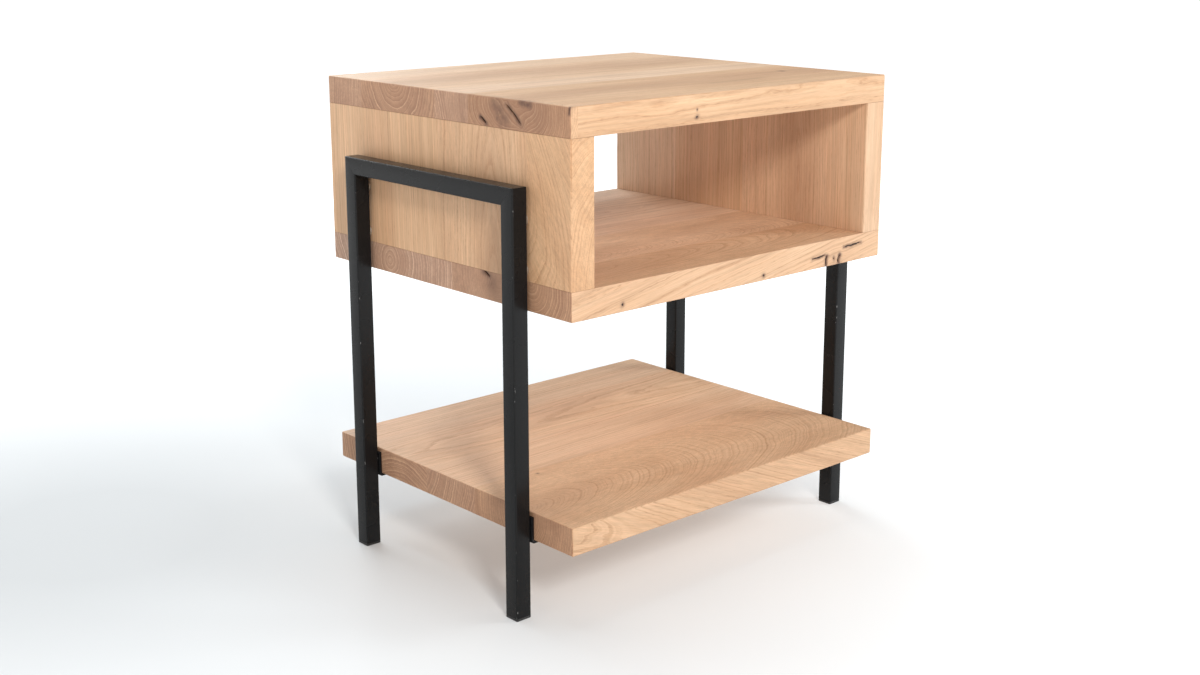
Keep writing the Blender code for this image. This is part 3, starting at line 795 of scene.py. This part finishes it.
def beech():
    """Pale beech with short dark flecks along the peg."""
    peg = Finish("beech_peg", IOR=1.45, Roughness=0.6)
    spot = peg.place()
    fibre = peg.noise(spot, (1800, 1800, 60), 2.0)
    fleck = peg.noise(spot, (2600, 2600, 420), 1.0)
    wood = peg.mix(fibre, (0.60, 0.38, 0.24), (0.70, 0.48, 0.32))
    peg.set("Base Color", peg.mix(peg.step(fleck, 0.6, 0.7), wood, (0.40, 0.22, 0.13)))
    peg.bump(fibre, 0.00004, 0.5)
    return peg.material


def pale_floor():
    """A matt white sweep that glows as painted light, more so away from the table's shaded corner."""
    sweep = Finish("pale_sweep_painted_glow", IOR=1.4, Emission_Strength=1.0)
    spot = sweep.place()
    cloud = sweep.noise(spot, (1.5, 1.5, 1.5), 3.0)
    sweep.set("Base Color", sweep.mix(cloud, (0.588, 0.600, 0.610), (0.623, 0.635, 0.645)))
    # painted light: the floor's own emission grows with distance from GLOW_START, so it shines white away
    # from the table
    reach = sweep.vector("LENGTH", sweep.vector("SUBTRACT", spot, GLOW_START))
    glow = sweep.math("MULTIPLY_ADD", reach, GLOW_RISE, GLOW_OFFSET, clamp=True)
    glow = sweep.math("MINIMUM", glow, GLOW_MOST)
    sweep.set("Emission Color", sweep.join(glow, glow, glow))
    sweep.set("Roughness", sweep.math("MULTIPLY_ADD", cloud, 0.1, 0.6))
    return sweep.material


# ---------------------------------------------------------------------------------- the boards
def board_staves():
    """Each board's staves, front to back, with the pith of each placed for the figure it shows; tones vary
    by stave, and their level on each board is painted light and shade.
    """
    return {
        # the top board's raised tones pale its upward face: painted sheen
        "top_board": [
            Stave(-0.219, -0.052, -0.122, 0.018, 0.00, 0.015, 0.0030, -0.02),
            Stave(-0.052, 0.008, 0.180, -0.060, 0.02, 0.000, 0.0040, 0.07),
            Stave(0.008, 0.150, 0.085, 0.016, 0.01, -0.020, 0.0052, 0.02),
            Stave(0.150, 0.219, -0.160, -0.030, 0.03, 0.010, 0.0042, 0.06),
        ],
        # tones rising towards the back pale the niche floor there: painted light coming in through the
        # open back
        "bottom_board": [
            Stave(-0.219, -0.128, -0.150, 0.055, 0.02, 0.160, 0.0040, 0.00),
            Stave(-0.128, -0.018, -0.098, -0.040, 0.00, -0.200, 0.0019, 0.05),
            Stave(-0.018, 0.152, 0.097, -0.010, -0.02, -0.040, 0.0056, 0.12),
            Stave(0.152, 0.219, 0.020, 0.090, 0.02, 0.020, 0.0044, 0.19),
        ],
        "lower_shelf": [
            Stave(-0.219, -0.052, -0.128, -0.075, 0.05, -0.330, 0.0026, -0.01),
            Stave(-0.052, 0.040, 0.190, 0.070, 0.03, 0.010, 0.0040, 0.03),
            Stave(0.040, 0.140, 0.092, -0.075, 0.00, 0.030, 0.0046, 0.01),
            Stave(0.140, 0.219, -0.070, 0.060, 0.01, 0.000, 0.0040, 0.03),
        ],
        # the left panel's lowered tones darken and warm it: painted shade on its shaded side
        "left_side_panel": [
            Stave(-0.219, -0.150, -0.090, 0.110, 0.700, -0.330, 0.0030, -0.05),
            Stave(-0.150, 0.004, -0.090, 0.0075, 0.020, 0.120, 0.0054, -0.03),
            Stave(0.004, 0.138, 0.330, 0.040, 0.020, 0.000, 0.0050, -0.04),
            Stave(0.138, 0.219, -0.120, 0.030, 0.010, 0.010, 0.0046, -0.03),
        ],
        "right_side_panel": [
            Stave(-0.219, -0.160, 0.080, -0.020, 0.010, 0.010, 0.0044, 0.02),
            Stave(-0.160, -0.020, -0.112, -0.018, 0.010, -0.080, 0.0052, 0.03),
            Stave(-0.020, 0.102, 0.300, 0.050, 0.000, 0.010, 0.0048, 0.00),
            Stave(0.102, 0.219, 0.010, -0.060, 0.010, 0.020, 0.0046, 0.06),
        ],
    }


def board_flaws():
    """Knots, stains and cracks: face, line from the board's middle, width, depth, halo, darkness."""
    return {
        "top_board": [
            Flaw("-x", [(-0.117, 0.010), (-0.127, 0.003), (-0.141, -0.009)], 0.0018, 0.0030, 0.0040, 0.80),
            Flaw("-x", [(-0.074, -0.007), (-0.083, -0.013)], 0.0026, 0.0030, 0.0040, 0.85),
            Flaw("-x", [(-0.140, 0.014), (-0.156, 0.012)], 0.0, 0.0, 0.0048, 0.80),
            Flaw("-x", [(-0.100, 0.006), (-0.112, -0.006)], 0.0, 0.0, 0.0120, 0.60),
            Flaw("-x", [(-0.070, 0.000), (-0.165, 0.000)], 0.0, 0.0, 0.0300, 0.18),
            Flaw("-x", [(-0.103, -0.005)], 0.0, 0.0, 0.0055, 0.72),
            Flaw("-x", [(-0.119, 0.011)], 0.0, 0.0, 0.0045, 0.60),
            Flaw("-x", [(-0.2172, 0.0150), (-0.2165, 0.0085)], 0.0011, 0.0012, 0.0022, 0.85),
            Flaw("+z", [(0.020, -0.150), (0.110, -0.146)], 0.0, 0.0, 0.0035, 0.16),
            Flaw("-y", [(-0.0714, -0.001)], 0.0016, 0.0006, 0.0016, 0.90),
            Flaw("-y", [(-0.0712, -0.0085)], 0.0022, 0.0008, 0.0024, 0.90),
            Flaw("+z", [(0.191, -0.107)], 0.0024, 0.0006, 0.0050, 0.80),
        ],
        "bottom_board": [
            Flaw("-x", [(-0.076, 0.015), (-0.085, 0.011)], 0.0022, 0.0025, 0.0045, 0.80),
            Flaw("-x", [(-0.088, 0.004)], 0.0, 0.0, 0.0110, 0.42),
            Flaw("-y", [(0.1650, -0.010)], 0.0, 0.0, 0.0120, 0.16),
            Flaw("-y", [(0.1517, -0.003), (0.1506, -0.0145)], 0.0038, 0.0035, 0.0034, 0.95),
            Flaw("-y", [(0.1755, -0.005), (0.1738, -0.0145)], 0.0036, 0.0035, 0.0034, 0.95),
            Flaw("-y", [(0.1650, -0.006), (0.1655, -0.009)], 0.0020, 0.0020, 0.0030, 0.85),
            Flaw("-y", [(0.1255, -0.004), (0.1480, -0.0015)], 0.0018, 0.0016, 0.0022, 0.8),
            Flaw("-y", [(0.1830, 0.0035), (0.2150, 0.0045)], 0.0018, 0.0016, 0.0022, 0.8),
            Flaw("-y", [(-0.1794, -0.0083)], 0.0030, 0.0008, 0.0030, 0.90),
            Flaw("-y", [(0.0403, -0.0104)], 0.0030, 0.0008, 0.0030, 0.90),
        ],
        "lower_shelf": [
            Flaw("+z", [(-0.167, -0.063)], 0.0016, 0.0005, 0.0022, 0.85),
        ],
        "left_side_panel": [],
        "right_side_panel": [],
    }


def make_boards(oak):
    """The five boards, each with its grain along its longer run between supports."""
    staves, flaws = board_staves(), board_flaws()
    for number, node in enumerate(sorted(staves), 1):
        grain = "z" if node.endswith("side_panel") else "x"
        make_board(node, grain, staves[node], flaws[node], [node], oak, number)


def make_metal_parts(paint, zinc_plate, plastic, peg):
    """The frames and every small part that hangs or rests on them."""
    for side in ("left", "right"):
        make_frame(side, paint)
        inward = (1, 0, 0) if side == "left" else (-1, 0, 0)
        for end in ("front", "rear"):
            corner = f"{side}_{end}_"
            make_glide(corner + "foot_glide", plastic)
            make_bracket(corner + "shelf_bracket", paint)
            for number in ("1", "2"):
                make_screw(corner + "shelf_screw_" + number, (0, 0, 1), *SHELF_SCREW, zinc_plate)
                make_screw(corner + "hook_screw_" + number, inward, *HOOK_SCREW, zinc_plate)
                make_washer(corner + "spacer_washer_" + number, WASHER_HOLE, zinc_plate)
    for node in sorted(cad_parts):
        if "_dowel_" in node:
            make_dowel(node, peg)


# ------------------------------------------------------------------------- floor, light, camera
def make_floor(material):
    """A round sweep on the ground, as rings that widen outwards."""
    turn = np.linspace(0, 2 * math.pi, 96, endpoint=False)
    radii = np.geomspace(0.2, 40.0, 24)
    rings = radii[:, None, None] * np.stack([np.cos(turn), np.sin(turn), 0 * turn], axis=-1)
    index = np.arange(rings.shape[0] * rings.shape[1]).reshape(rings.shape[:2])
    low, high = index[:-1], index[1:]
    quads = np.stack([low, high, np.roll(high, -1, axis=1), np.roll(low, -1, axis=1)], axis=-1)
    faces = [index[0].tolist()] + quads.reshape(-1, 4).tolist()
    mesh = bpy.data.meshes.new("floor_sweep")
    mesh.from_pydata(rings.reshape(-1, 3).tolist(), [], faces)
    mesh.materials.append(material)
    floor = bpy.data.objects.new("floor_sweep", mesh)
    floor.location.z = -0.0001
    bpy.context.scene.collection.objects.link(floor)


def add_softbox(name, place, aim, size, watts, colour):
    """A square area light that looks from its place at a point."""
    light = bpy.data.lights.new(name, "AREA")
    light.color = colour
    light.shape = "SQUARE"
    light.size = size
    light.energy = watts
    lamp = bpy.data.objects.new(name, light)
    lamp.location = place
    way = np.array(aim, float) - np.array(place, float)
    pitch = math.atan2(math.hypot(way[0], way[1]), -way[2])
    lamp.rotation_euler = (pitch, 0.0, math.atan2(-way[0], way[1]))
    bpy.context.scene.collection.objects.link(lamp)


def light_studio():
    """A warm key from the front left, a cool fill from the front right, and soft glows behind,
    beside and above the table, in a dim white room."""
    world = bpy.data.worlds.new("white_studio")
    world.use_nodes = True
    world.node_tree.nodes["Background"].inputs["Color"].default_value = (1.0, 1.0, 1.0, 1.0)
    world.node_tree.nodes["Background"].inputs["Strength"].default_value = 0.25
    scene = bpy.context.scene
    scene.world = world
    scene.view_settings.view_transform = "Standard"
    middle = ((CAD_LOW + CAD_HIGH) / 2).to_tuple()
    warm, cool = (1.0, 0.95, 0.90), (0.91, 0.97, 1.0)
    sky = (0.82, 0.93, 1.0)
    add_softbox("key_front_left", (-1.6, -3.2, 2.3), middle, 0.7, 102, warm)
    add_softbox("fill_front_right", (2.6, -2.2, 2.0), middle, 1.0, 46, cool)
    add_softbox("glow_back_left", (-2.0, 2.9, 1.2), middle, 1.4, 13, warm)
    add_softbox("glow_left", (-2.8, 0.2, 1.0), middle, 1.6, 10, warm)
    add_softbox("glow_behind", (0.4, 2.9, 1.7), middle, 2.2, 72, cool)
    add_softbox("glow_above", (0.0, 0.3, 2.6), middle, 1.6, 21, sky)


def place_camera():
    """Front left, a little above the table top."""
    camera = bpy.data.cameras.new("camera")
    camera.sensor_width = 36.0
    camera.lens = 47.29
    camera.shift_y = -0.05
    camera.clip_start, camera.clip_end = 0.05, 100.0
    view = bpy.data.objects.new("camera", camera)
    view.location = (-1.275, -1.391, 0.746)
    view.rotation_euler = (math.radians(90 - 12.803), 0.0, math.radians(-42.232))
    bpy.context.scene.collection.objects.link(view)
    bpy.context.scene.camera = view


place_camera()
light_studio()
make_floor(pale_floor())
make_boards(oiled_oak())
make_metal_parts(powder_coat(), zinc(), moulded_plastic(), beech())
